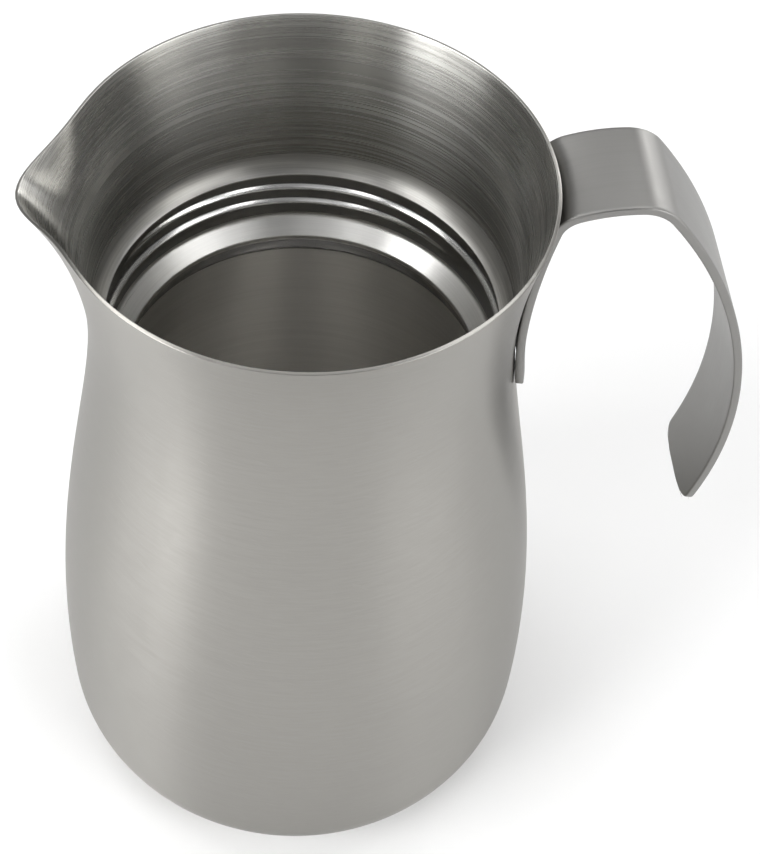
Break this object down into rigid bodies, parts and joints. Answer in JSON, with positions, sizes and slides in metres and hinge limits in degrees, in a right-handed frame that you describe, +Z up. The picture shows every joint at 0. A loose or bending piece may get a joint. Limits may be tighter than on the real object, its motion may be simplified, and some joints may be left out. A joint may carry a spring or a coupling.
{
  "type": "insulated jug",
  "caption": "Pear-shaped double-walled steel jug with a flared spouted mouth, a screw-thread neck and a bent flat strip handle, for keeping drinks hot or cold.",
  "frame": {"origin": "centre of the flat base cover, on the jug's axis", "axes": "+Z up along the jug's axis, +X towards the handle, -X towards the spout"},
  "size_m": [0.1745, 0.1358, 0.2089],
  "materials": {
    "satin_steel": "satin, fine brushing round the body",
    "polished_steel": "polished",
    "flask_steel": "dull satin",
    "reflector_foil": "bright copper foil",
    "seal_glass": "fused solder glass",
    "getter": "matt sintered pill"
  },
  "bodies": {
    "root": {"outer_shell": "satin_steel", "neck_collar": "polished_steel", "flask_wall": "flask_steel", "flask_bottom": "flask_steel", "reflector_foil": "reflector_foil", "reflector_disc": "reflector_foil", "outer_bottom": "satin_steel", "seal_bead": "seal_glass", "base_cover": "satin_steel", "getter_holder": "flask_steel", "getter_pill": "getter", "handle_strip": "satin_steel"}
  },
  "joints": []
}
